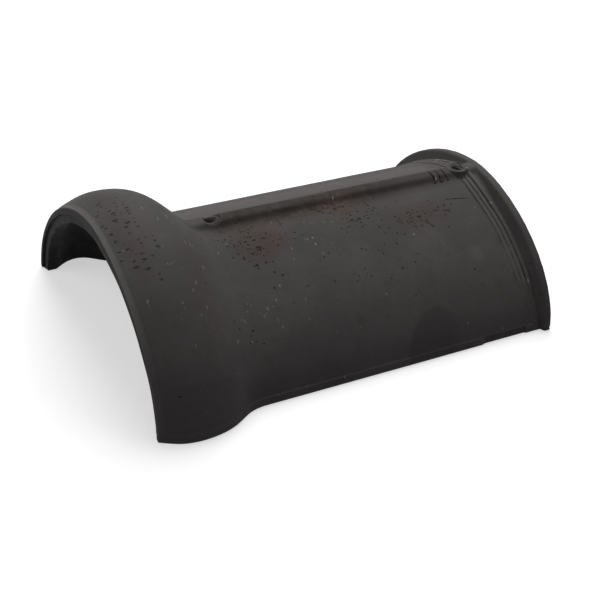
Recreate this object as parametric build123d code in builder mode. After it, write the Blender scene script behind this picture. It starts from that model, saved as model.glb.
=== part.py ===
"""Fired-clay ridge tile: an arched cap with a bulged socket collar at one end and a raised rim at the other.

Millimetres, +Z up. The tile lies on its two long feet. The collar end is at -X, the rim end at +X.
"""
import math
import os

from build123d import *

# whole tile
tile_length = 370.0
foot_wall = 11.5
crown_wall = 12.5

# body section: |y / half width| ** power + |z / height| ** power = 1, with a soft swell added along the crest
body_power = 1.62
body_half_width_at_collar = 127.0
body_half_width_at_rim = 129.3
body_crown_height = 95.3
crest_swell = 3.0
crest_swell_reach = 55.0
body_start = 63.0

# outside of the collar, section by section from its front face
collar_stations = (0.0, 7.5, 16.0, 25.0, 35.0, 46.0, 56.0, 66.0, 75.0, 83.0, 92.0)
collar_half_widths = (133.7, 138.4, 142.6, 144.8, 145.4, 144.4, 142.0, 137.6, 132.2, 127.8, 123.6)
collar_crown_heights = (115.2, 117.9, 121.6, 124.3, 125.2, 123.9, 120.2, 112.8, 104.6, 97.6, 89.5)
collar_powers = (1.79, 1.77, 1.75, 1.74, 1.72, 1.71, 1.69, 1.67, 1.64, 1.62, 1.62)

# inside of the collar behind the lip, section by section
cavity_stations = (11.0, 15.5, 21.0, 32.5, 42.5, 51.5, 60.0, 68.0, 76.0)
cavity_half_widths = (122.4, 125.6, 129.2, 132.6, 129.6, 122.4, 116.6, 112.6, 108.0)
cavity_crown_heights = (100.4, 104.8, 109.0, 112.4, 110.4, 103.4, 93.2, 83.0, 73.0)
cavity_powers = (1.79, 1.77, 1.75, 1.73, 1.71, 1.68, 1.64, 1.62, 1.62)
ring_depth = 2.5
ring_foot_thickness = 4.0
ring_crown_thickness = 7.0

# bead along the crest: half of its outline, from the top down to where it meets the body
bead_half_widths = (0.0, 3.6, 6.6, 8.8, 11.0, 15.0)
bead_heights = (99.2, 98.9, 97.5, 95.2, 93.0, 89.2)
bead_start = 60.0
bead_root = 87.0

# raised rim at the far end; its edges are rounded by steps: distance in from the face, drop below full height
rim_thickness = 8.6
rim_half_width = 132.8
rim_crown_height = 99.8
rim_power = 1.79
rim_front_insets = (0.0, 0.4, 1.2, 2.5, 4.2)
rim_front_drops = (4.2, 2.5, 1.2, 0.4, 0.0)
rim_back_insets = (2.0, 0.6, 0.0)
rim_back_drops = (0.0, 0.6, 2.0)

# three ribs beside the rim, measured back from the rim's end face
rib_rise_at_crown = 2.3
rib_rise_at_sides = 1.3
rib_lower_end = 34.0
rib_starts_before_end = (32.0, 25.5, 18.5)
rib_ends_before_end = (27.5, 20.5, 13.0)

# screw holes through the crest: one measured from the collar's face, one from the rim's end face
collar_hole_station = 101.0
rim_hole_before_end = 24.0
hole_diameter = 7.5
countersink_diameter = 16.5
countersink_depth = 4.5
boss_diameter = 21.0
boss_top = 99.9

# the sections run below the floor and are trimmed flat there; cutters run past what they cut
skirt = 6.0
overcut = 1.0
points_per_side = 12
front = -tile_length / 2.0


def arch(station, half_width, crown_height, power, swell=0.0):
    """Closed arch-shaped face across the tile at a distance from the collar's front face."""
    points = [(half_width, -skirt)]
    for i in range(2 * points_per_side + 1):
        angle = math.pi * i / (2 * points_per_side)
        across = math.cos(angle)
        y = half_width * math.copysign(abs(across) ** (2.0 / power), across)
        z = (crown_height - swell) * abs(math.sin(angle)) ** (2.0 / power)
        z += swell * max(0.0, 1.0 - (y / crest_swell_reach) ** 2) ** 2
        points.append((y, z))
    points.append((-half_width, -skirt))
    with BuildSketch(Plane.YZ.offset(front + station)) as section:
        with BuildLine():
            outline = Spline(*points)
            Line(outline @ 1, outline @ 0)
        make_face()
    return section.sketch


def arched_bar(start, end, half_width, crown_height, power, swell=0.0):
    """Solid bar with the same arch from start to end."""
    return extrude(arch(start, half_width, crown_height, power, swell), amount=end - start, dir=(1, 0, 0))


def body_half_width(station):
    share = (station - body_start) / (tile_length - body_start)
    return body_half_width_at_collar + share * (body_half_width_at_rim - body_half_width_at_collar)


rim_start = tile_length - rim_thickness
body_end = tile_length - rim_thickness / 2.0
rim_steps = [(rim_start + inset, drop) for inset, drop in zip(rim_front_insets, rim_front_drops)]
rim_steps += [(tile_length - inset, drop) for inset, drop in zip(rim_back_insets, rim_back_drops)]

with BuildPart() as rim:
    rim_sections = [arch(x, rim_half_width - drop, rim_crown_height - drop, rim_power) for x, drop in rim_steps]
    loft(sections=rim_sections, ruled=True)

with BuildPart() as body_inside:
    inner_height = body_crown_height - crown_wall
    inner_start = body_half_width(body_start) - foot_wall
    inner_end = body_half_width(tile_length) - foot_wall
    first = arch(body_start, inner_start, inner_height, body_power, crest_swell)
    last = arch(tile_length + overcut, inner_end, inner_height, body_power, crest_swell)
    loft(sections=[first, last], ruled=True)

with BuildPart() as collar_cavity:
    rows = zip(cavity_stations, cavity_half_widths, cavity_crown_heights, cavity_powers)
    loft(sections=[arch(*row) for row in rows])

with BuildPart() as ridge_tile:
    rows = zip(collar_stations, collar_half_widths, collar_crown_heights, collar_powers)
    loft(sections=[arch(*row) for row in rows])
    with BuildPart(mode=Mode.PRIVATE) as body_outside:
        first = arch(body_start, body_half_width(body_start), body_crown_height, body_power, crest_swell)
        last = arch(body_end, body_half_width(body_end), body_crown_height, body_power, crest_swell)
        loft(sections=[first, last], ruled=True)
    add(body_outside.part)
    add(rim.part)

    # ribs over the crown that stop short of the feet
    with BuildPart(mode=Mode.PRIVATE) as ribs:
        rib_height = body_crown_height + rib_rise_at_crown
        for before_start, before_end in zip(rib_starts_before_end, rib_ends_before_end):
            rib_start = tile_length - before_start
            rib_end = tile_length - before_end
            rib_half_width = body_half_width(rib_start) + rib_rise_at_sides
            add(arched_bar(rib_start, rib_end, rib_half_width, rib_height, body_power, crest_swell))
        with Locations((0, 0, rib_lower_end)):
            Box(tile_length * 2, tile_length * 2, tile_length, align=(Align.CENTER, Align.CENTER, Align.MAX),
                mode=Mode.SUBTRACT)
    add(ribs.part)

    # crest bead, from inside the collar's shoulder to the rim
    with BuildSketch(Plane.YZ.offset(front + bead_start)):
        with BuildLine():
            far_half = list(zip(bead_half_widths, bead_heights))
            near_half = [(-y, z) for y, z in reversed(far_half[1:])]
            top = Spline(*(near_half + far_half))
            Polyline(top @ 1, (bead_half_widths[-1], bead_root), (-bead_half_widths[-1], bead_root), top @ 0)
        make_face()
    extrude(amount=body_end - bead_start)

    # round boss that carries the hole next to the rim
    with BuildSketch(Plane.XY.offset(bead_root)):
        with Locations((front + tile_length - rim_hole_before_end, 0)):
            Circle(boss_diameter / 2)
    extrude(amount=boss_top - bead_root)

    # hollow under the arch, the collar's cavity, the mouth and the stepped ring round it
    add(body_inside.part, mode=Mode.SUBTRACT)
    add(collar_cavity.part, mode=Mode.SUBTRACT)
    lip_back = cavity_stations[0] + overcut
    lip_section = (cavity_half_widths[0], cavity_crown_heights[0], cavity_powers[0])
    add(arched_bar(-overcut, lip_back, *lip_section), mode=Mode.SUBTRACT)
    ring_half_width = collar_half_widths[0] - ring_foot_thickness
    ring_height = collar_crown_heights[0] - ring_crown_thickness
    add(arched_bar(-overcut, ring_depth, ring_half_width, ring_height, collar_powers[0]), mode=Mode.SUBTRACT)

    # countersunk screw holes
    hole_radius = hole_diameter / 2
    flare = (countersink_diameter / 2 - hole_radius) / countersink_depth
    cone_height = countersink_depth + overcut
    holes = ((collar_hole_station, bead_heights[0]), (tile_length - rim_hole_before_end, boss_top))
    for station, top_z in holes:
        with Locations((front + station, 0, 0)):
            Cylinder(hole_radius, tile_length, align=(Align.CENTER, Align.CENTER, Align.MIN), mode=Mode.SUBTRACT)
        with Locations((front + station, 0, top_z - countersink_depth)):
            Cone(hole_radius, hole_radius + flare * cone_height, cone_height,
                 align=(Align.CENTER, Align.CENTER, Align.MIN), mode=Mode.SUBTRACT)

    # flat resting faces under both feet
    with Locations((0, 0, 0)):
        Box(tile_length * 2, tile_length * 2, tile_length, align=(Align.CENTER, Align.CENTER, Align.MAX),
            mode=Mode.SUBTRACT)

ridge_tile.part.label = "ridge_tile"

os.makedirs("parts", exist_ok=True)
export_step(ridge_tile.part, "parts/ridge_tile.step")
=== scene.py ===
# %% [markdown]
# # A fired-clay ridge tile
#
# A ridge tile covers the top line of a roof, where two slopes meet. This one is a long arch of
# pressed clay. One end swells into a collar that laps over its neighbour, the other end has a
# raised rim that slips under the next collar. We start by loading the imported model, which fixes
# the size and the place of everything that follows.

# %% Load the fixed frame
import math
import bmesh
import bpy
import numpy as np
from mathutils import Matrix, Vector


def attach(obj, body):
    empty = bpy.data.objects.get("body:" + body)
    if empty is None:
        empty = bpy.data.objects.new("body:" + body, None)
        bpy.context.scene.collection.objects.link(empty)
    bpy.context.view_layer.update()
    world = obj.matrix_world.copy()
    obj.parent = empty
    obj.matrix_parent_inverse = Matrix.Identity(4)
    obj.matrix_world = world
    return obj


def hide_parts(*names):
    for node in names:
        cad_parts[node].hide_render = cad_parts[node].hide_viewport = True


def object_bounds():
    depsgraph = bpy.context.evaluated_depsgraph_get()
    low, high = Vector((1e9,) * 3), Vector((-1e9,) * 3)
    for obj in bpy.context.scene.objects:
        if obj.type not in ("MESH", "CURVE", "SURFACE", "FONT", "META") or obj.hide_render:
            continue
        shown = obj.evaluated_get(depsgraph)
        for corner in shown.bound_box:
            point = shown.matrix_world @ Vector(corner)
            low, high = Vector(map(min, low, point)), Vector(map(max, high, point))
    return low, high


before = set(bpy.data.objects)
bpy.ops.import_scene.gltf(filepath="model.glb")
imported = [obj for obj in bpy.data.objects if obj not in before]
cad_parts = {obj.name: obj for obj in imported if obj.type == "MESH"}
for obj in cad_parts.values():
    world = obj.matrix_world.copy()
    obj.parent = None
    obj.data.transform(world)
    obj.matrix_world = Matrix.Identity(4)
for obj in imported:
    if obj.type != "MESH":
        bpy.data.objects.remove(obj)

cad_box = [list(corner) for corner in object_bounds()]
scene = bpy.context.scene
print("the frame's box in metres:", cad_box)

# %% [markdown]
# ## The camera
#
# The photograph was taken from above the collar's near corner with a fairly long lens. A camera
# could be aimed with a Track To constraint, but the photograph is also rolled a few degrees, so
# the three axes are worked out from yaw, pitch and roll and put into the camera's matrix. The
# middle of the picture stays the middle of the lens, so no shift is needed.

# %% Place the camera
def camera_axes(yaw, pitch, roll):
    """Right, up and forward of a camera that is turned from +Y by yaw, tipped down by pitch, then rolled."""
    forward = np.array([math.sin(yaw) * math.cos(pitch), math.cos(yaw) * math.cos(pitch), -math.sin(pitch)])
    level = np.array([math.cos(yaw), -math.sin(yaw), 0.0])
    upright = np.cross(level, forward)
    right = math.cos(roll) * level + math.sin(roll) * upright
    up = -math.sin(roll) * level + math.cos(roll) * upright
    return right, up, forward


camera_place = (-0.4523, -0.7612, 0.5824)
yaw, pitch, roll = 31.18, 33.42, 4.61
right, up, forward = camera_axes(math.radians(yaw), math.radians(pitch), math.radians(roll))
camera_data = bpy.data.cameras.new("photo_camera")
camera_data.lens = 71.78
camera_data.sensor_width = 36.0
camera = bpy.data.objects.new("photo_camera", camera_data)
scene.collection.objects.link(camera)
turned = Matrix((right, up, -forward)).transposed()
camera.matrix_world = Matrix.Translation(camera_place) @ turned.to_4x4()
scene.camera = camera
print("camera lens in mm:", camera_data.lens)

# %% [markdown]
# ## Sections of the arch
#
# Every cut across the tile is the same kind of curve: a superellipse, which is an ellipse whose
# power of 2 is swapped for a smaller one, so that the haunches are flatter than a circle's. The
# sizes below are in millimetres, measured from the collar's front face, and are those of the CAD
# part. Lofting in Blender would need a curve object per section. Written as a distance from the
# tile's long axis in each direction, a section is one line of numpy, and two shapes are joined
# by taking the larger distance.

# %% The sections' measures
tile_length = 370.0

body_start = 63.0
body_half_width_at_collar = 127.0
body_widening = 2.3
body_crown = 95.3
body_power = 1.62
crest_swell = 3.0
crest_swell_reach = 55.0
foot_wall = 11.5
crown_wall = 12.5

collar_stations = (0.0, 7.5, 16.0, 25.0, 35.0, 46.0, 56.0, 66.0, 75.0, 83.0, 92.0)
collar_half_widths = (133.7, 138.4, 142.6, 144.8, 145.4, 144.4, 142.0, 137.6, 132.2, 127.8, 123.6)
collar_crowns = (115.2, 117.9, 121.6, 124.3, 125.2, 123.9, 120.2, 112.8, 104.6, 97.6, 89.5)
collar_powers = (1.79, 1.77, 1.75, 1.74, 1.72, 1.71, 1.69, 1.67, 1.64, 1.62, 1.62)

socket_stations = (11.0, 15.5, 21.0, 32.5, 42.5, 51.5, 60.0, 68.0, 76.0)
socket_half_widths = (122.4, 125.6, 129.2, 132.6, 129.6, 122.4, 116.6, 112.6, 108.0)
socket_crowns = (100.4, 104.8, 109.0, 112.4, 110.4, 103.4, 93.2, 83.0, 73.0)
socket_powers = (1.79, 1.77, 1.75, 1.73, 1.71, 1.68, 1.64, 1.62, 1.62)

bead_half_widths = (0.0, 3.6, 6.6, 8.8, 11.0, 15.0)
bead_heights = (99.2, 98.9, 97.5, 95.2, 93.0, 89.2)
print("collar sections:", len(collar_stations), "socket sections:", len(socket_stations))


# %% Helpers: a smooth line through measures, a soft step, a soft union
def smooth_line(x, knots, values):
    """Natural cubic through the knots.

    The second derivatives solve one small linear system, then each span is a cubic.
    """
    knots, values = np.asarray(knots, float), np.asarray(values, float)
    gap = np.diff(knots)
    system = np.eye(len(knots))
    target = np.zeros(len(knots))
    for i in range(1, len(knots) - 1):
        system[i, i - 1:i + 2] = gap[i - 1], 2 * (gap[i - 1] + gap[i]), gap[i]
        target[i] = 6 * ((values[i + 1] - values[i]) / gap[i] - (values[i] - values[i - 1]) / gap[i - 1])
    bend = np.linalg.solve(system, target)
    x = np.clip(x, knots[0], knots[-1])
    i = np.clip(np.searchsorted(knots, x) - 1, 0, len(gap) - 1)
    after, before = x - knots[i], knots[i + 1] - x
    return ((bend[i] * before ** 3 + bend[i + 1] * after ** 3) / (6 * gap[i])
            + (values[i] / gap[i] - bend[i] * gap[i] / 6) * before
            + (values[i + 1] / gap[i] - bend[i + 1] * gap[i] / 6) * after)


def soft_step(x, start, end):
    """0 before start, 1 after end, and the cubic 3t^2 - 2t^3 between them."""
    t = np.clip((x - start) / (end - start), 0, 1)
    return t * t * (3 - 2 * t)


def soft_max(a, b, blend):
    """The larger of a and b with a fillet.

    Where they differ by less than blend, a quarter of blend times the squared overlap is added.
    """
    overlap = np.clip(blend - np.abs(a - b), 0, None) / blend
    return np.maximum(a, b) + overlap ** 2 * blend / 4


def section(turn, half_width, crown, power):
    """Distance of a superellipse from its centre.

    1 over the power mean of |cos| / half width and |sin| / crown.
    """
    return ((np.abs(np.cos(turn)) / half_width) ** power
            + (np.abs(np.sin(turn)) / crown) ** power) ** (-1 / power)


# %% [markdown]
# ## Outside and inside of the tile
#
# On the real tile a press squeezes a slab of clay between two moulds, one for the outside and
# one for the hollow. The same two surfaces are written here as functions. The body carries a low
# bead along its crest, three ribs beside the rim that stop water from blowing in, and a round
# boss for the screw hole at the rim. Ribs and rim follow the photograph a little more closely
# than the CAD part does.

# %% Measures of the ribs, the boss, the rim and the fillets between them
rib_spans = ((345.5, 348.8), (350.0, 353.5), (354.8, 358.6))
rib_shares = (0.65, 0.75, 1.0)
rib_rise_at_sides = 1.3
rib_more_at_crown = 0.7
rib_rise_heights = (55, 92)
rib_bow = 2.0
rib_bow_heights = (72, 92)
rib_lower_ends = (26, 42)
rib_edge = 0.8

bead_start = 58
hole_stations = (101.0, 346.0)
boss_top = 99.9
boss_drop = 9.0
boss_edge = (9.4, 12.2)

rim_start = 358.9
rim_steps = ((rim_start, 12.0), (362.5, 1.5), (363.3, 0.6), (364.3, 0.2), (365.4, 0.0), (368.0, 0.0))
rim_half_width = 133.6
rim_crown = 100.4
rim_power = 1.79

collar_fade = 0.7
bead_fillet, boss_fillet, rim_fillet, collar_fillet, socket_fillet = 2.0, 1.0, 1.5, 5.0, 3.0
foot_turn = 0.3
print("ribs:", len(rib_spans), "screw holes:", len(hole_stations))


# %% The outer mould as a function
def body_half_width(station):
    """Straight line from the collar's end of the body to the rim's."""
    along = (np.clip(station, body_start, tile_length) - body_start) / (tile_length - body_start)
    return body_half_width_at_collar + along * body_widening


def swollen(turn, half_width, crown, power):
    """The body's section: a lower superellipse, with the difference given back over the crest as a swell."""
    radius = section(turn, half_width, crown - crest_swell, power)
    across = radius * np.cos(turn)
    return radius + crest_swell * np.clip(1 - (across / crest_swell_reach) ** 2, 0, 1) ** 2 * np.sin(turn)


def off_the_feet(turn):
    """Directions held back from both feet, so that a division by their sine stays small."""
    return np.clip(turn, foot_turn, math.pi - foot_turn)


def bead_radius(turn, start):
    """The crest bead as a distance: its height over each y, found from the body's y in three corrections."""
    radius = start
    for _ in range(3):
        across = np.abs(radius * np.cos(turn))
        on_bead = across < bead_half_widths[-1]
        height = np.where(on_bead, smooth_line(across, bead_half_widths, bead_heights), 0.0)
        radius = height / np.sin(off_the_feet(turn))
    return radius


def ribbed(station, turn):
    """The body with its ribs: each is a soft step up and down, bowed at the crown, ending above the feet."""
    body = swollen(turn, body_half_width(station), body_crown, body_power)
    height = body * np.sin(turn)
    rise = rib_rise_at_sides + rib_more_at_crown * soft_step(height, *rib_rise_heights)
    bowed = station + rib_bow * soft_step(height, *rib_bow_heights)
    for (start, end), share in zip(rib_spans, rib_shares):
        rib = (soft_step(bowed, start - rib_edge, start + rib_edge)
               * (1 - soft_step(bowed, end - rib_edge, end + rib_edge)))
        body = body + rise * share * rib * soft_step(height, *rib_lower_ends)
    return body


def outside(station, turn):
    """Distance of the outer surface: soft union of body, ribs, bead, boss, rim and collar."""
    body = ribbed(station, turn)
    bead = np.where(station > bead_start, bead_radius(turn, body), 0)
    shape = soft_max(body, bead, bead_fillet)
    boss_across = boss_top / np.tan(off_the_feet(turn))
    from_hole = np.hypot(station - hole_stations[1], boss_across)
    boss = (boss_top - boss_drop * soft_step(from_hole, *boss_edge)) / np.sin(off_the_feet(turn))
    shape = soft_max(shape, np.where(from_hole < boss_edge[1], boss, 0), boss_fillet)
    drop = np.interp(station, *zip(*rim_steps))
    rim = np.where(station > rim_start, section(turn, rim_half_width - drop, rim_crown - drop, rim_power), 0)
    shape = soft_max(shape, rim, rim_fillet)
    collar = section(turn, smooth_line(station, collar_stations, collar_half_widths),
                     smooth_line(station, collar_stations, collar_crowns),
                     smooth_line(station, collar_stations, collar_powers))
    collar = collar - collar_fade * np.clip(station - collar_stations[-1], 0, None)
    return soft_max(shape, collar, collar_fillet)


# %% The inner mould as a function
def inside(station, turn):
    """Distance of the hollow: soft union of the arch's hollow and the collar's socket."""
    hollow = swollen(turn, body_half_width(station) - foot_wall, body_crown - crown_wall, body_power)
    socket = section(turn, smooth_line(station, socket_stations, socket_half_widths),
                     smooth_line(station, socket_stations, socket_crowns),
                     smooth_line(station, socket_stations, socket_powers))
    return np.where(station < socket_stations[-1], soft_max(hollow, socket, socket_fillet), hollow)


def at(station):
    """One station as a grid of one row and one column."""
    return np.array([[station]])


straight_up = at(math.pi / 2)
for name, station in (("collar", 35.0), ("body", 200.0), ("rim", 368.0)):
    wall = outside(at(station), straight_up) - inside(at(station), straight_up)
    print(name, "wall at the crown in mm:", round(float(wall[0, 0]), 2))

# %% [markdown]
# ## The grid
#
# A profile is carried along the arch: each row of the grid is one step along the profile, which
# runs from the mouth over the outside to the rim, round the rim's end face and back through the
# hollow to the mouth. Each column is one direction of the arch, from foot to foot. Rows and
# columns lie close together where there is detail, on the lips, the bead, the ribs and the feet,
# and far apart on the plain flanks. That keeps the mesh light without losing an edge.

# %% Columns of the grid, from one foot over the crest to the other
middle_half_width = 128.0
bead_side = 17.0
flank_spacing = 2.05
crest_columns = 25
foot_steps = [0, 0.5, 1.1, 1.9, 3.0, 4.3, 5.6, 6.6, 7.3, 7.9, 8.5, 9.2, 10.2, 11.6]

fine = np.linspace(1e-4, math.pi / 2, 6000)
profile = swollen(fine, middle_half_width, body_crown, body_power)
profile_y, profile_z = profile * np.cos(fine), profile * np.sin(fine)
length_from_foot = np.concatenate([[0], np.cumsum(np.hypot(np.diff(profile_y), np.diff(profile_z)))])
flank_end = float(np.interp(-bead_side, -profile_y, length_from_foot))
flank_start = foot_steps[-1]
flank_count = int((flank_end - flank_start) / flank_spacing) + 1
flank_steps = np.linspace(flank_start, flank_end, flank_count)[1:]
crest_steps = np.linspace(flank_end, length_from_foot[-1], crest_columns)[1:]
column_lengths = np.concatenate([foot_steps, flank_steps, crest_steps])
half_turns = np.interp(column_lengths, length_from_foot, fine)
half_turns[0] = 0.0
turns = np.concatenate([half_turns, math.pi - half_turns[-2::-1]])[None, :]
print("columns:", turns.size)


# %% Rows of the grid, round the whole profile
def spread(*spans):
    """Stations with their own spacing in each span: (start, end, spacing), joined end to end."""
    parts = [np.linspace(a, b, max(2, int(round((b - a) / gap)) + 1))[:-1] for a, b, gap in spans]
    return np.concatenate(parts + [[spans[-1][1]]])[:, None]


def rounded_edge(station, surface, radius, towards, along, steps=4):
    """Rows of a quarter round: they leave the surface and turn into the end face by radius."""
    angle = np.linspace(0, math.pi / 2, steps + 1)[:, None]
    x = station + along * radius * (1 - np.sin(angle))
    return x + 0 * turns, surface + towards * radius * (1 - np.cos(angle))


def face(station, start, end, count):
    """Rows across a flat face, from one edge distance to the other, without the two edges themselves."""
    share = np.linspace(0, 1, count + 2)[1:-1, None]
    return station + 0 * share + 0 * turns, start + (end - start) * share


mouth_round, end_round, hollow_round, lip_round, ring_round = 1.2, 1.8, 1.4, 1.1, 0.7
ring_depth = 2.5
ring_half_width = collar_half_widths[0] - 4.0
ring_crown = collar_crowns[0] - 7.0
ring_seam = 0.01
lip_depth = socket_stations[0]
ring_wall = section(turns, ring_half_width, ring_crown, collar_powers[0])
lip_wall = section(turns, socket_half_widths[0], socket_crowns[0], socket_powers[0])
outer_end = tile_length - end_round
inner_start = ring_depth + lip_round
inner_end = tile_length - hollow_round
outer_stations = spread((mouth_round, 30, 1.0), (30, 60, 1.6), (60, 90, 1.15), (90, 114, 0.7),
                        (114, 314, 2.7), (314, 336, 0.85), (336, 366, 0.5), (366, outer_end, 1.1))
inner_stations = spread((inner_start, 14, 1.3), (14, 76, 2.6), (76, 366, 7.5), (366, inner_end, 1.3))[::-1]
print("outer stations:", len(outer_stations), "inner stations:", len(inner_stations))

# %% Join the rows: mouth, outside, rim's end, hollow, lip, ring
rows = []
edge_x, edge_r = rounded_edge(0.0, outside(at(mouth_round), turns), mouth_round, -1, 1)
rows.append((edge_x[::-1], edge_r[::-1]))
rows.append((outer_stations[1:] + 0 * turns, outside(outer_stations[1:], turns)))
edge_x, edge_r = rounded_edge(tile_length, outside(at(outer_end), turns), end_round, -1, -1)
rows.append((edge_x[1:], edge_r[1:]))
outer_rows = sum(len(r[0]) for r in rows)
end_outer, end_inner = edge_r[-1:], inside(at(tile_length), turns) + hollow_round
rows.append(face(tile_length, end_outer, end_inner, 6))
edge_x, edge_r = rounded_edge(tile_length, inside(at(tile_length), turns), hollow_round, 1, -1)
rows.append((edge_x[::-1], edge_r[::-1]))
in_stations = inner_stations[1:-1]
reach = np.where(in_stations < lip_depth, lip_wall, inside(np.maximum(in_stations, lip_depth), turns))
rows.append((in_stations + 0 * turns, reach))
edge_x, edge_r = rounded_edge(ring_depth, lip_wall, lip_round, 1, 1)
rows.append((edge_x, edge_r))
rows.append(face(ring_depth, edge_r[-1:], ring_wall - ring_seam, 3))
rows.append((at(ring_depth) + 0 * turns, ring_wall))
edge_x, edge_r = rounded_edge(0.0, ring_wall, ring_round, 1, 1, steps=3)
rows.append((edge_x, edge_r))
rows.append(face(0.0, edge_r[-1:], rows[0][1][:1], 2))
station_grid = np.vstack([r[0] for r in rows])
radius_grid = np.vstack([r[1] for r in rows])
turn_grid = turns + 0 * station_grid
print("rows:", station_grid.shape[0], "grid points:", station_grid.size)

# %% [markdown]
# ## Small relief: margin strip, land, nicks and press marks
#
# Up close the press leaves its own marks. A strip about 8 mm high runs along both feet, standing
# a little proud where the mould's lower frame was, so the face above it is drawn in. A narrow
# land follows the edge of the mouth. Three short nicks cross the bead beside the rim hole. These
# could be sculpted or painted as bump, but they are real steps, so the grid points move along
# their normals by a depth in millimetres. Nearly all of it goes inwards, and the points are then
# held inside the frame's box, which keeps the tile to its measured size.

# %% Normals of the bare shape
def grid_points(station, radius, turn):
    """Points in mm: the station from the collar's face becomes X, distance and direction become Y and Z."""
    return np.stack([station - tile_length / 2, radius * np.cos(turn), radius * np.sin(turn)], -1)


def grid_normals(points):
    """Cross product of the steps along rows and columns; only the rows close on themselves."""
    along = np.roll(points, -1, 0) - np.roll(points, 1, 0)
    across = np.gradient(points, axis=1)
    normal = np.cross(along, across)
    return normal / np.maximum(np.linalg.norm(normal, axis=-1, keepdims=True), 1e-9)


bare = grid_points(station_grid, radius_grid, turn_grid)
normals = grid_normals(bare)
crest_column = turns.shape[1] // 2
if normals[outer_rows // 2, crest_column, 2] < 0:
    normals = -normals
print("normals at the crest:", normals[outer_rows // 2, crest_column].round(3))


# %% Helpers for the marks, and the places they read
def spot(x, y, centre_x, centre_y, size_x, size_y):
    """A soft round mask: the bell curve of the distance from a centre, with its own length and width."""
    return np.exp(-((x - centre_x) / size_x) ** 2 - ((y - centre_y) / size_y) ** 2)


def rolling(x, y, wavelength, seed):
    """Slow uneven swell from 0 to 1: seven sine waves in random directions near one wavelength."""
    rng = np.random.default_rng(seed)
    total = np.zeros_like(x)
    for _ in range(7):
        heading, phase = rng.uniform(0, 2 * math.pi, 2)
        length = wavelength * rng.uniform(0.7, 1.5)
        total += np.sin((x * math.cos(heading) + y * math.sin(heading)) * 2 * math.pi / length + phase)
    return 0.5 + total / 14


# x_mm is the station from the collar's face, y_mm and z_mm are the frame's Y and Z
x_mm, y_mm, z_mm = station_grid, bare[..., 1], bare[..., 2]
is_outer = np.zeros_like(station_grid)
is_outer[:outer_rows] = 1.0
to_crest = column_lengths - column_lengths[-1]
arc = np.interp(turn_grid, turns[0], np.concatenate([to_crest, column_lengths[-1] - column_lengths[-2::-1]]))
crest_bottom = 60
on_crest = is_outer * (z_mm > crest_bottom)
print("arc from the crest in mm:", arc.min().round(1), arc.max().round(1))

# %% Depth of the strip, its pocket, the land and the nicks, in mm
depth = np.zeros_like(station_grid)

strip_height = 7.6
strip_depth = 0.75
strip_top = strip_height + 0.5 * (rolling(x_mm, y_mm, 60, 3) - 0.5)
along_strip = soft_step(x_mm, 4, 10) * (1 - soft_step(x_mm, 352, 358))
above_strip = soft_step(z_mm, strip_top - 0.5, strip_top + 0.7) * (1 - soft_step(z_mm, 9, 24))
depth += strip_depth * above_strip * along_strip * is_outer

pocket_depth = 1.3
pocket = soft_step(x_mm, 302, 303.5) * (1 - soft_step(x_mm, 345, 347)) * (1 - soft_step(z_mm, 6.8, 8.0))
depth += pocket_depth * pocket * is_outer * (y_mm < 0)

land_depth = 0.45
land = (1 - soft_step(x_mm, 4.2, 6.2)) * soft_step(z_mm, 10, 60)
depth += land_depth * land * is_outer

nick_depth = 1.5
nick_stations = (317.0, 323.5, 330.0)
nick_half_width = 0.7
nicked = np.zeros_like(station_grid)
for nick in nick_stations:
    across = soft_step(y_mm, -9.5, -7.5) * (1 - soft_step(y_mm, 1.0, 5.5))
    nicked += np.exp(-((x_mm - nick) / nick_half_width) ** 2) * across * on_crest
depth += nick_depth * nicked
print("deepest mark so far in mm:", round(float(depth.max()), 2))

# %% Depth of the dishes round the holes and of the small pits beside them
dish_offset = 2.4
dish_stretch = 1.04
dish_slant = 0.25
below_crest = 30 * (z_mm < crest_bottom)
for hole in hole_stations:
    from_dish = np.hypot(x_mm - hole - dish_offset, y_mm * dish_stretch) + below_crest
    wide_dish = 1.2 * (1 - soft_step(from_dish, 6.9, 8.5))
    deep_dish = 1.3 * (1 - soft_step(from_dish + dish_slant * (x_mm - hole), 5.0, 6.2))
    from_bore = np.hypot(x_mm - hole, y_mm) + below_crest
    throat = 1.3 * (1 - soft_step(from_bore, 3.7, 5.4))
    depth += (wide_dish + deep_dish + throat) * is_outer
small_pits = ((316.5, -10.8, 1.1, 1.3), (323.5, -10.8, 1.1, 1.3), (330.5, -10.4, 1.0, 1.1),
              (344.5, -12.2, 1.2, 1.2), (351.0, -12.6, 1.0, 0.8))
for pit_x, pit_y, wide, deep in small_pits:
    pit = spot(x_mm, y_mm, pit_x, pit_y, wide, wide) * on_crest
    depth += deep * pit
    nicked += pit
print("deepest mark so far in mm:", round(float(depth.max()), 2))

# %% Depth of the crease at the rim's root, of the pressed clay's swell and of the rounded feet
crease_width = 1.3
root_ledge = x_mm - 359.4 + (z_mm - 7.4) * 1.6
crease = np.exp(-(root_ledge / crease_width) ** 2) * soft_step(z_mm, 3, 5)
crease = crease * (1 - soft_step(z_mm, 9.5, 12)) * (z_mm < 20)
ledge = 0.7 * np.exp(-((root_ledge - 2.6) / crease_width) ** 2) * (z_mm < 11)
depth += (ledge - 0.5 * crease) * is_outer * soft_step(x_mm, 350, 354)

depth += 0.35 * rolling(x_mm, arc, 55, 11) * is_outer
depth += 0.6 * rolling(x_mm, arc, 45, 12) * (1 - is_outer)
depth += 0.30 * rolling(x_mm, arc, 9, 13) * soft_step(x_mm, 362, 366) * is_outer

foot_round = 1.3
foot_share = 0.8
from_round = np.clip(foot_round - z_mm, 0, foot_round)
round_depth = foot_round - np.sqrt(np.clip(foot_round ** 2 - from_round ** 2, 0, None))
depth += round_depth * foot_share
print("deepest mark in mm:", round(float(depth.max()), 2))

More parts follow.
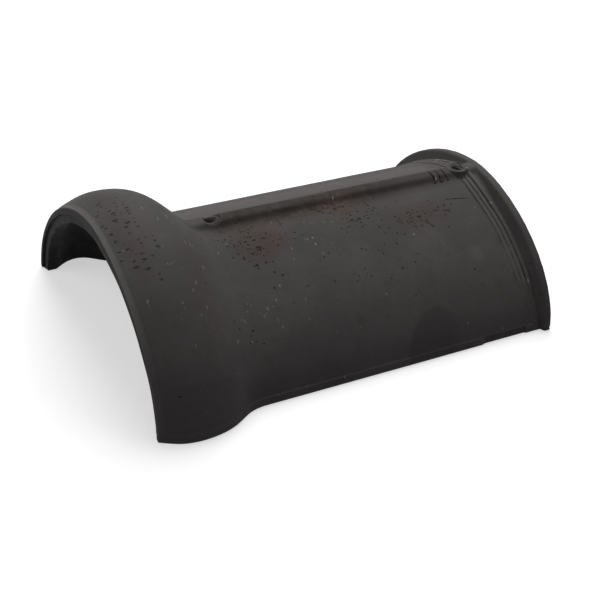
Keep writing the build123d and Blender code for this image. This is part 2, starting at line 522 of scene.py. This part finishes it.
# %% Move the points and keep the feet on the floor
box_margin = 0.005
points = bare - normals * depth[..., None]
points[:, 0, 2] = 0.0
points[:, -1, 2] = 0.0
points[..., 2] = np.maximum(points[..., 2], 0.0)
low, high = np.array(cad_box[0]) * 1000, np.array(cad_box[1]) * 1000
points = np.clip(points, low + box_margin, high - box_margin)
print("extent in mm:", points.reshape(-1, 3).min(0).round(2), points.reshape(-1, 3).max(0).round(2))

# %% [markdown]
# ## From grid to mesh
#
# The grid becomes quads in one go: every point is joined with its right and lower neighbour, and
# the last row with the first, because the profile is a closed loop. The two feet are open, so
# each gets one flat face along the whole profile. The mesh is then closed like the real tile.

# %% Build the mesh
def grid_faces(row_count, column_count):
    """Quads of a grid whose rows wrap round: corner, next column, next row and column, next row."""
    corner = np.arange(row_count * column_count).reshape(row_count, column_count)
    below = np.roll(corner, -1, 0)
    quads = np.stack([corner[:, :-1], corner[:, 1:], below[:, 1:], below[:, :-1]], -1)
    return quads.reshape(-1, 4)


row_count, column_count = station_grid.shape
quads = grid_faces(row_count, column_count)
first_column = np.arange(row_count) * column_count
last_column = first_column + column_count - 1
faces = quads.tolist() + [first_column.tolist(), last_column[::-1].tolist()]
tile_mesh = bpy.data.meshes.new("fired_clay_tile")
tile_mesh.from_pydata((points / 1000).reshape(-1, 3), [], faces)
tile_mesh.update()
tile = bpy.data.objects.new("fired_clay_tile", tile_mesh)
scene.collection.objects.link(tile)

shell = bmesh.new()
shell.from_mesh(tile_mesh)
bmesh.ops.recalc_face_normals(shell, faces=shell.faces)
if shell.calc_volume(signed=True) < 0:
    bmesh.ops.reverse_faces(shell, faces=shell.faces)
open_edges = sum(not edge.is_manifold for edge in shell.edges)
print("volume in litres:", round(shell.calc_volume(signed=True) * 1000, 4), "open edges:", open_edges)
shell.to_mesh(tile_mesh)
shell.free()

# %% [markdown]
# ## Where the finish changes, and where light and shade are painted
#
# The slip coat on a tile isn't even. Over the bead and its near flank it is darker and browner,
# partly the slip's own brown and partly painted shade of the flank that is turned from the lamp.
# Beyond the bead it is paler, partly rubbed and partly a painted sheen where the far flank faces
# the light. It is paler along the edges, drags in short lines where the clay tore on the collar,
# and is pricked with pits where air was trapped. The mouth's land is paler, partly painted light
# that grows towards the top, and the crevices, the bores and the hollow side are painted darker
# as painted shade. Painting such zones by hand wouldn't follow a change in shape. Here each zone
# is a number per point, from the station and the distance round the arch, and the edges come from
# how fast the surface turns.

# %% Masks for worn edges and for painted shade in the crevices
def turning(points, normals, axis):
    """Curvature in 1/mm along one direction: the normal's change along a step, over the step squared."""
    if axis == 0:
        step, change = (np.roll(a, -1, 0) - np.roll(a, 1, 0) for a in (points, normals))
    else:
        step, change = (np.gradient(a, axis=1) * 2 for a in (points, normals))
    return (step * change).sum(-1) / np.maximum((step ** 2).sum(-1), 0.04)


final_normals = grid_normals(points)
final_normals *= np.sign((final_normals * normals).sum(-1, keepdims=True) + 1e-9)
bend_most = np.maximum(turning(points, final_normals, 0), turning(points, final_normals, 1))
bend_least = np.minimum(turning(points, final_normals, 0), turning(points, final_normals, 1))
edge_wear = soft_step(bend_most, 0.10, 0.55)
edge_wear *= 1 - 0.7 * soft_step(x_mm, 359, 361) * (1 - soft_step(x_mm, 365, 367))
# Painted shade: concave corners, nicks, small pits, the pocket and the grooves between the ribs are painted
# darker where shade falls, less so near the rim's root.
inner_corners = 0.7 * soft_step(-bend_least, 0.12, 0.7) * (1 - 0.8 * soft_step(x_mm, 343, 347))
crevice_shade = np.maximum(inner_corners, np.clip(1.3 * nicked, 0, 1))
crevice_shade = np.maximum(crevice_shade, 0.45 * pocket * is_outer * (y_mm < 0))
groove_width = 0.6
for groove, dirt in ((344.6, 0.30), (349.4, 0.42), (354.1, 0.75)):
    from_groove = x_mm + rib_bow * soft_step(z_mm, *rib_bow_heights) - groove
    along_rib = soft_step(z_mm, *rib_lower_ends) * is_outer
    crevice_shade = np.maximum(crevice_shade, dirt * np.exp(-(from_groove / groove_width) ** 2) * along_rib)
# Painted shade: each bore and its entry are painted near black.
for hole in hole_stations:
    in_hole = 1 - soft_step(np.hypot(x_mm - hole, y_mm), 4.0, 4.9)
    crevice_shade = np.maximum(crevice_shade, 2.0 * in_hole * (z_mm > crest_bottom))
print("points with dirt in a crevice:", int((crevice_shade > 0.5).sum()))


# %% Zones of the finish, each a number from 0 to 1
def add_mark(mesh, name, values):
    """A named number per point, which the material reads as a mask."""
    layer = mesh.attributes.new(name, "FLOAT", "POINT")
    layer.data.foreach_set("value", np.ascontiguousarray(values, np.float32).ravel())


def spots(*places):
    """Sum of soft spots on the skin: strength, station, arc from the crest, length and width, in mm."""
    return sum(strength * spot(x_mm, arc, *place) for strength, *place in places)


# the places follow the clusters on the real tile and were chosen one by one
pit_zone = spots((1.0, 275, 44, 15, 10), (0.7, 302, 38, 14, 8), (0.8, 206, 6, 17, 12),
                 (0.9, 226, 26, 19, 12), (0.9, 124, 44, 13, 10), (0.6, 116, 26, 22, 16),
                 (0.4, 150, 30, 16, 10), (0.10, 200, 70, 70, 30), (0.25, 98, 110, 10, 8),
                 (0.2, 250, -50, 60, 40))
drag_zone = spots((1.0, 18, 2, 13, 32), (0.9, 21, 38, 12, 12), (0.5, 20, -60, 10, 30))
brown_zone = spots((0.95, 132, 34, 24, 17), (0.75, 218, 12, 28, 12), (0.60, 282, 42, 32, 16),
                   (0.35, 60, 70, 18, 40), (0.35, 160, 14, 70, 6), (0.35, 20, 20, 14, 50))
speck_zone = spots((1.0, 126, 94, 22, 14), (0.8, 94, 102, 10, 12), (0.8, 64, 14, 12, 10),
                   (0.6, 90, 34, 20, 22), (0.5, 52, 50, 14, 34), (0.5, 185, 34, 26, 14)) + 0.02
# A darker half-round patch that reaches the near foot.
dark_patch_zone = 1 - soft_step(np.hypot((x_mm - 258) / 32, (arc - arc.max()) / 44), 0.90, 1.06)
dark_patch_zone *= 1 - soft_step(x_mm, 250, 292)
# Painted light in part: the land along the mouth and the mouth's front faces are paler, partly the land's
# own smoother finish and partly painted light that grows towards the top.
land_pale_and_lit_zone = is_outer * (1 - soft_step(x_mm, 4.0, 6.0)) + (1 - is_outer) * (x_mm < 0.8)
land_pale_and_lit_zone *= 0.3 + 0.7 * soft_step(z_mm, 50, 105)
# Painted shade in part: the bead's crest and near flank get a dark brown, partly the slip's own brown and
# partly the shade of the flank turned from the lamp.
bead_brown_and_shade_zone = (soft_step(arc, -9.0, -1.0) * (1 - soft_step(arc, 9, 22)) * soft_step(x_mm, 84, 112)
             * (1 - 0.45 * soft_step(x_mm, 230, 300)) * (1 - soft_step(x_mm, 325, 360)))
# Painted sheen in part: the far flank beyond the bead and two patches near the rim are paler, partly rubbed
# and partly a painted sheen where the flank faces the light.
sheen_and_rubbed_zone = (soft_step(-arc, 6.0, 8.0) * (1 - soft_step(-arc, 26, 60)) * soft_step(x_mm, 70, 90)
               * (1 - soft_step(x_mm, 318, 350)) + 0.7 * spot(x_mm, arc, 317, 88, 6, 8)
               + 0.35 * spot(x_mm, arc, 300, 96, 26, 20))

for name, mask in (("pit_zone", pit_zone), ("drag_zone", drag_zone), ("brown_zone", brown_zone),
                   ("dark_patch_zone", dark_patch_zone), ("sheen_and_rubbed_zone", sheen_and_rubbed_zone), ("bead_brown_and_shade_zone", bead_brown_and_shade_zone),
                   ("speck_zone", speck_zone)):
    add_mark(tile_mesh, name, np.clip(mask, 0, 1) * is_outer)
add_mark(tile_mesh, "land_pale_and_lit_zone", land_pale_and_lit_zone)
add_mark(tile_mesh, "edge_wear", edge_wear)
add_mark(tile_mesh, "crevice_shade", crevice_shade)
# Painted shade: the whole hollow side gets a darker colour.
add_mark(tile_mesh, "hollow_shade", 1 - is_outer)

# %% Unroll the skin: stations along U, the arc along V, the hollow beside the outside
outside_shift, hollow_shift = 230, 700
unrolled = tile_mesh.uv_layers.new(name="unrolled")
corner_points = np.zeros(len(tile_mesh.loops), np.int32)
tile_mesh.loops.foreach_get("vertex_index", corner_points)
shifted = np.where(is_outer > 0, arc + outside_shift, arc + hollow_shift)
flat = np.stack([x_mm, shifted], -1).reshape(-1, 2) / 1000
unrolled.data.foreach_set("uv", flat[corner_points].astype(np.float32).ravel())
print("corners with a place on the skin:", len(corner_points))

# %% [markdown]
# ## Screw holes
#
# Two screws hold the tile to the ridge batten. Their holes go straight down through the crest at
# the same places as in the CAD part. The shallow dish round each hole is already in the relief,
# because it follows the curve of the bead. The bore itself is cut with a Boolean modifier,
# applied at once. Its manifold solver is the one to take here: it is made for closed meshes, and
# the result is closed too, which the printed count of open edges shows. The cut comes after the
# masks and the unrolled skin, because it hands them on to the new points.

# %% A cutter for the bores
bore_radius = 3.75
bore_top, bore_bottom = 140, 40


def bore(station, radius, top, bottom, sides=40):
    """A closed cylinder in metres: two rings of points on a circle, joined by quads, with two flat ends."""
    angle = np.linspace(0, 2 * math.pi, sides, endpoint=False)
    ring = np.stack([station - tile_length / 2 + radius * np.cos(angle), radius * np.sin(angle)], -1)
    rings = np.vstack([np.column_stack([ring, np.full(sides, z)]) for z in (bottom, top)]) / 1000
    side = np.arange(sides)
    walls = np.stack([side, np.roll(side, -1), np.roll(side, -1) + sides, side + sides], -1)
    mesh = bpy.data.meshes.new("bore")
    mesh.from_pydata(rings, [], walls.tolist() + [side[::-1].tolist(), (side + sides).tolist()])
    mesh.update()
    return bpy.data.objects.new("bore", mesh)


# %% Cut both bores and finish the piece
sharp_angle = 52
for hole in hole_stations:
    cutter = bore(hole, bore_radius, bore_top, bore_bottom)
    scene.collection.objects.link(cutter)
    cut = tile.modifiers.new("bore", "BOOLEAN")
    cut.operation, cut.solver, cut.object = "DIFFERENCE", "MANIFOLD", cutter
    bpy.context.view_layer.update()
    cut_mesh = bpy.data.meshes.new_from_object(tile.evaluated_get(bpy.context.evaluated_depsgraph_get()))
    tile.modifiers.clear()
    tile.data = cut_mesh
    bpy.data.objects.remove(cutter)
tile.data.name = "fired_clay_tile"
shell = bmesh.new()
shell.from_mesh(tile.data)
print("open edges after the bores:", sum(not edge.is_manifold for edge in shell.edges),
      "volume in litres:", round(shell.calc_volume(signed=True) * 1000, 4))
shell.free()
tile.data.shade_smooth()
tile.data.set_sharp_from_angle(angle=math.radians(sharp_angle))
triangles = sum(len(p.vertices) - 2 for p in tile.data.polygons)
print("triangles:", triangles, "points:", len(tile.data.vertices))
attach(tile, "root")
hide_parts("ridge_tile")

# %% [markdown]
# ## Fired clay under a matt slip
#
# The tile is pressed earthenware, dipped in a slip that holds iron and manganese and fires to a
# matt anthracite. To the eye that is a dark grey a little warmer than neutral, with no clear
# highlight, a fine sandy grain and cloudy patches where the slip lay thicker. Brown clay shows
# through where it is thin. An image would be quicker, but a procedural material keeps its
# sharpness at any distance and needs no file.

# %% Helpers for materials
def linear(hex_colour):
    """sRGB hex to linear: below 0.04045 divide by 12.92, above it shift by 0.055, scale and raise to 2.4."""
    channels = [int(hex_colour[i:i + 2], 16) / 255 for i in (1, 3, 5)]
    return tuple(c / 12.92 if c <= 0.04045 else ((c + 0.055) / 1.055) ** 2.4 for c in channels) + (1.0,)


def add_node(tree, kind, inputs=(), **settings):
    """One node: settings are its properties, inputs pairs a socket with a value or with an output."""
    made = tree.nodes.new(kind)
    for name, value in settings.items():
        setattr(made, name, value)
    for socket, value in dict(inputs).items():
        if isinstance(value, bpy.types.NodeSocket):
            tree.links.new(value, made.inputs[socket])
        else:
            made.inputs[socket].default_value = value
    return made.outputs


clay = bpy.data.materials.new("matt_slip_on_fired_clay")
clay.use_nodes = True
tree = clay.node_tree
tree.nodes.clear()
object_place = add_node(tree, "ShaderNodeTexCoord")["Object"]
skin_place = add_node(tree, "ShaderNodeUVMap", uv_map="unrolled")["UV"]
zone_names = ("pit_zone", "drag_zone", "brown_zone", "dark_patch_zone", "sheen_and_rubbed_zone", "bead_brown_and_shade_zone", "speck_zone",
              "land_pale_and_lit_zone", "edge_wear", "crevice_shade", "hollow_shade")
zone = {name: add_node(tree, "ShaderNodeAttribute", attribute_name=name)["Fac"] for name in zone_names}
print("zones read by the clay:", len(zone))

# %% Cloudy slip: patches, mottling and sandy grain, with their sizes in metres
cloud_size = 0.055
mottle_size = 0.009
grain_size = 0.0012
clouds = add_node(tree, "ShaderNodeTexNoise", {"Vector": object_place, "Scale": 1 / cloud_size,
                                              "Detail": 4.0, "Roughness": 0.55})["Fac"]
mottle = add_node(tree, "ShaderNodeTexNoise", {"Vector": object_place, "Scale": 1 / mottle_size,
                                              "Detail": 5.0, "Roughness": 0.62})["Fac"]
grain = add_node(tree, "ShaderNodeTexNoise", {"Vector": object_place, "Scale": 1 / grain_size,
                                             "Detail": 3.0, "Roughness": 0.6})["Fac"]
cloud_share = add_node(tree, "ShaderNodeMapRange", {0: clouds, 1: 0.36, 2: 0.64},
                       interpolation_type="SMOOTHSTEP")[0]
slip = add_node(tree, "ShaderNodeMix", {0: cloud_share, 6: linear("#484445"), 7: linear("#514d4d")},
                data_type="RGBA")[2]
mottle_share = add_node(tree, "ShaderNodeMapRange", {0: mottle, 1: 0.35, 2: 0.68, 3: 0.0, 4: 0.24})[0]
slip = add_node(tree, "ShaderNodeMix", {0: mottle_share, 6: slip, 7: linear("#57524f")}, data_type="RGBA")[2]
grain_share = add_node(tree, "ShaderNodeMapRange", {0: grain, 1: 0.52, 2: 0.30, 3: 0.0, 4: 0.22})[0]
slip = add_node(tree, "ShaderNodeMix", {0: grain_share, 6: slip, 7: linear("#34312f")}, data_type="RGBA")[2]
print("nodes in the cloudy slip:", len(tree.nodes))


# %% Brown clay, painted shade on the bead, painted sheen on the far flank, painted light on the land, worn edges, a darker patch, painted shade in the hollow and crevices
def share_of(mask, pattern, low, high, most):
    """A mask broken up by a pattern: their sum, stretched from low..high to 0..most."""
    total = add_node(tree, "ShaderNodeMath", {0: mask, 1: pattern}, operation="ADD")[0]
    return add_node(tree, "ShaderNodeMapRange", {0: total, 1: low, 2: high, 3: 0.0, 4: most},
                    interpolation_type="SMOOTHSTEP")[0]


for mask, pattern, low, high, most, colour in (
        # bead: dark brown, partly painted shade
        ("bead_brown_and_shade_zone", mottle, 0.45, 1.35, 0.95, "#2e2926"),
        ("brown_zone", mottle, 0.55, 1.35, 0.75, "#4a3c33"),
        # far flank: paler, partly painted sheen
        ("sheen_and_rubbed_zone", mottle, 0.70, 1.40, 0.35, "#66615e"),
        # land and mouth faces: paler, partly painted light
        ("land_pale_and_lit_zone", mottle, 0.35, 1.40, 0.60, "#656260"),
        ("edge_wear", mottle, 0.80, 1.50, 0.55, "#6c6866"),
        # a darker half-round patch
        ("dark_patch_zone", clouds, 0.50, 1.30, 0.42, "#343130"),
        # hollow: painted shade
        ("hollow_shade", mottle, 0.20, 1.50, 0.80, "#242222"),
        # crevices and bores: painted shade
        ("crevice_shade", mottle, 0.60, 1.40, 0.92, "#151211")):
    slip = add_node(tree, "ShaderNodeMix", {0: share_of(zone[mask], pattern, low, high, most), 6: slip,
                                            7: linear(colour)}, data_type="RGBA")[2]
print("nodes with the zones' colours:", len(tree.nodes))

# %% Blots of the slip: one random blot in each cell of a pattern
looseness = 0.85


def scattered(place, size, stretch, zone_mask, few, many, widest):
    """Random blots: one per Voronoi cell of that size in m, kept if its number is under the density."""
    scale = (1 / (size * stretch), 1 / size, 1 / size)
    smallest = widest * 0.35
    mapped = add_node(tree, "ShaderNodeMapping", {"Vector": place, "Scale": scale})[0]
    cell = add_node(tree, "ShaderNodeTexVoronoi", {"Vector": mapped, "Scale": 1.0, "Randomness": looseness},
                    voronoi_dimensions="2D")
    chance = add_node(tree, "ShaderNodeSeparateColor", {0: cell["Color"]})
    density = add_node(tree, "ShaderNodeMapRange", {0: zone_mask, 1: 0.0, 2: 1.0, 3: few, 4: many})[0]
    kept = add_node(tree, "ShaderNodeMath", {0: chance[0], 1: density}, operation="LESS_THAN")[0]
    size_here = add_node(tree, "ShaderNodeMapRange",
                         {0: chance[1], 1: 0.0, 2: 1.0, 3: smallest, 4: widest})[0]
    filled = add_node(tree, "ShaderNodeMath", {0: size_here, 1: cell["Distance"]}, operation="SUBTRACT")[0]
    soft = add_node(tree, "ShaderNodeMapRange", {0: filled, 1: 0.0, 2: smallest},
                    interpolation_type="SMOOTHSTEP")[0]
    return add_node(tree, "ShaderNodeMath", {0: soft, 1: kept}, operation="MULTIPLY")[0]


# %% Pits, drag marks, pale specks and chips, laid out on the unrolled skin
ragged_size = 0.0026
ragged_reach = 0.0024
ragged = add_node(tree, "ShaderNodeTexNoise", {"Vector": skin_place, "Scale": 1 / ragged_size,
                                              "Detail": 3.0})["Color"]
ragged_place = add_node(tree, "ShaderNodeMix", {0: ragged_reach, 4: skin_place, 5: ragged},
                        data_type="VECTOR")[1]
ragged_place = add_node(tree, "ShaderNodeVectorMath", {0: ragged_place, 1: (1, 1, 0)},
                        operation="MULTIPLY")[0]
pits = scattered(ragged_place, 0.0023, 1.2, zone["pit_zone"], 0.003, 0.62, 0.42)
large_pits = scattered(ragged_place, 0.0054, 1.4, zone["pit_zone"], -0.04, 0.42, 0.32)
pits = add_node(tree, "ShaderNodeMath", {0: pits, 1: large_pits}, operation="MAXIMUM")[0]
drags = scattered(ragged_place, 0.0032, 2.3, zone["drag_zone"], 0.0, 0.85, 0.36)
specks = scattered(ragged_place, 0.0058, 0.42, zone["speck_zone"], 0.0, 0.24, 0.30)
chips = scattered(ragged_place, 0.0050, 1.0, zone["edge_wear"], 0.0, 0.10, 0.42)
print("nodes in the clay so far:", len(tree.nodes))


# %% Scratches, and the colour of every blot
def scratch(place, start, end, thickness):
    """A thin line on the skin from start to end in m: 1 close to the segment, 0 past its thickness."""
    run = np.array(end) - np.array(start)
    from_start = add_node(tree, "ShaderNodeVectorMath", {0: place, 1: (*start, 0)}, operation="SUBTRACT")[0]
    share = add_node(tree, "ShaderNodeVectorMath", {0: from_start, 1: (*(run / (run @ run)), 0)},
                     operation="DOT_PRODUCT")["Value"]
    share = add_node(tree, "ShaderNodeClamp", {0: share})[0]
    foot = add_node(tree, "ShaderNodeVectorMath", {0: (*run, 0), "Scale": share}, operation="SCALE")[0]
    gap = add_node(tree, "ShaderNodeVectorMath", {0: from_start, 1: foot}, operation="DISTANCE")["Value"]
    return add_node(tree, "ShaderNodeMapRange", {0: gap, 1: thickness, 2: thickness * 0.4},
                    interpolation_type="SMOOTHSTEP")[0]


scratch_thickness = 0.0007
for start, end in (((0.3165, 0.2620), (0.3370, 0.2655)), ((0.3080, 0.2725), (0.3125, 0.2740)),
                   ((0.2845, 0.2790), (0.2900, 0.2860))):
    scratched = scratch(ragged_place, start, end, scratch_thickness)
    pits = add_node(tree, "ShaderNodeMath", {0: pits, 1: scratched}, operation="MAXIMUM")[0]
for mask, strength, colour in ((pits, 0.88, "#211d1b"), (drags, 0.80, "#272423"), (specks, 0.50, "#87827e"),
                               (chips, 0.70, "#938b84")):
    share = add_node(tree, "ShaderNodeMath", {0: mask, 1: strength}, operation="MULTIPLY")[0]
    slip = add_node(tree, "ShaderNodeMix", {0: share, 6: slip, 7: linear(colour)}, data_type="RGBA")[2]

# %% Relief and gloss of the slip
height = add_node(tree, "ShaderNodeMath", {0: mottle, 1: 0.3}, operation="MULTIPLY")[0]
for mask, amount in ((grain, 0.22), (pits, -1.3), (drags, -0.9)):
    height = add_node(tree, "ShaderNodeMath", {0: mask, 1: amount, 2: height}, operation="MULTIPLY_ADD")[0]
relief = add_node(tree, "ShaderNodeBump", {"Height": height, "Distance": 0.0004, "Strength": 0.9})[0]
roughness = add_node(tree, "ShaderNodeMapRange", {0: mottle, 1: 0.3, 2: 0.7, 3: 0.86, 4: 0.70})[0]
# a matt slip scatters nearly all that it reflects, so its specular level lies far below the usual 0.5
surface = add_node(tree, "ShaderNodeBsdfPrincipled", {"Base Color": slip, "Roughness": roughness,
                                                      "Normal": relief, "Specular IOR Level": 0.18,
                                                      "IOR": 1.5, "Metallic": 0.0})[0]
add_node(tree, "ShaderNodeOutputMaterial", {"Surface": surface})
tile.data.materials.clear()
tile.data.materials.append(clay)
for cad_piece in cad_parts.values():
    cad_piece.data.materials.clear()
    cad_piece.data.materials.append(clay)
print("nodes in the clay:", len(tree.nodes))

# %% [markdown]
# ## Floor, backdrop and light
#
# The photograph shows the tile on plain white. The floor is one large sheet that carries the
# shadow. To the camera and in reflections it is white, while for the light that bounces it is a
# dark grey, so that the feet aren't lit from below. Further out the sheet glows up to full
# white, so that it meets the white sky without a horizon. The light is one large soft lamp above
# and behind the tile, on the rim's side, two weak fills, from the collar's end and from the near
# side, and an even pale sky.

# %% Floor
floor_reach = 6
floor_mesh = bpy.data.meshes.new("studio_floor")
corners = [(x * floor_reach, y * floor_reach, 0) for x, y in ((-1, -1), (1, -1), (1, 1), (-1, 1))]
floor_mesh.from_pydata(corners, [], [(0, 1, 2, 3)])
floor = bpy.data.objects.new("studio_floor", floor_mesh)
scene.collection.objects.link(floor)

paper = bpy.data.materials.new("white_studio_paper")
paper.use_nodes = True
tree = paper.node_tree
tree.nodes.clear()
ray = add_node(tree, "ShaderNodeLightPath")
seen = add_node(tree, "ShaderNodeMath", {0: ray["Is Camera Ray"], 1: ray["Is Glossy Ray"]},
                operation="MAXIMUM")[0]
seen = add_node(tree, "ShaderNodeMath", {0: seen, 1: ray["Is Transmission Ray"]}, operation="MAXIMUM")[0]
lit_paper = add_node(tree, "ShaderNodeBsdfDiffuse", {"Color": (0.60, 0.60, 0.60, 1)})[0]
from_tile = add_node(tree, "ShaderNodeVectorMath", {0: add_node(tree, "ShaderNodeTexCoord")["Object"]},
                     operation="LENGTH")["Value"]
glow = add_node(tree, "ShaderNodeMapRange", {0: from_tile, 1: 0.45, 2: 1.6, 3: 0.55, 4: 1.0},
                interpolation_type="SMOOTHSTEP")[0]
lift = add_node(tree, "ShaderNodeEmission", {"Color": (1, 1, 1, 1), "Strength": glow})[0]
shown = add_node(tree, "ShaderNodeAddShader", {0: lit_paper, 1: lift})[0]
bounced = add_node(tree, "ShaderNodeBsdfDiffuse", {"Color": (0.14, 0.14, 0.14, 1)})[0]
mixed = add_node(tree, "ShaderNodeMixShader", {0: seen, 1: bounced, 2: shown})[0]
add_node(tree, "ShaderNodeOutputMaterial", {"Surface": mixed})
floor.data.materials.append(paper)
print("floor in metres:", 2 * floor_reach, "by", 2 * floor_reach)

# %% Sky and lamps
sky = bpy.data.worlds.new("studio_sky")
scene.world = sky
sky.use_nodes = True
tree = sky.node_tree
tree.nodes.clear()
ray = add_node(tree, "ShaderNodeLightPath")
seen = add_node(tree, "ShaderNodeMath", {0: ray["Is Camera Ray"], 1: ray["Is Transmission Ray"]},
                operation="MAXIMUM")[0]
strength = add_node(tree, "ShaderNodeMapRange", {0: seen, 1: 0.0, 2: 1.0, 3: 0.15, 4: 1.0})[0]
glow = add_node(tree, "ShaderNodeBackground", {"Color": (1, 1, 1, 1), "Strength": strength})[0]
add_node(tree, "ShaderNodeOutputWorld", {"Surface": glow})


def add_lamp(name, place, target, width, power):
    """A square soft lamp at a place in m, turned so that its -Z looks at the target."""
    data = bpy.data.lights.new(name, "AREA")
    data.shape, data.size, data.energy = "SQUARE", width, power
    lamp = bpy.data.objects.new(name, data)
    lamp.location = place
    lamp.rotation_euler = (Vector(target) - Vector(place)).to_track_quat("-Z", "Y").to_euler()
    lamp.visible_camera = False
    scene.collection.objects.link(lamp)


tile_middle = (0, 0, 0.05)
add_lamp("top_softbox", (0.40, 0.90, 1.55), tile_middle, 1.4, 34)
add_lamp("collar_side_fill", (-2.1, 0.3, 1.9), tile_middle, 1.6, 14)
add_lamp("near_side_fill", (2.3, -2.1, 1.5), tile_middle, 1.6, 13)
scene.view_settings.view_transform = "Standard"
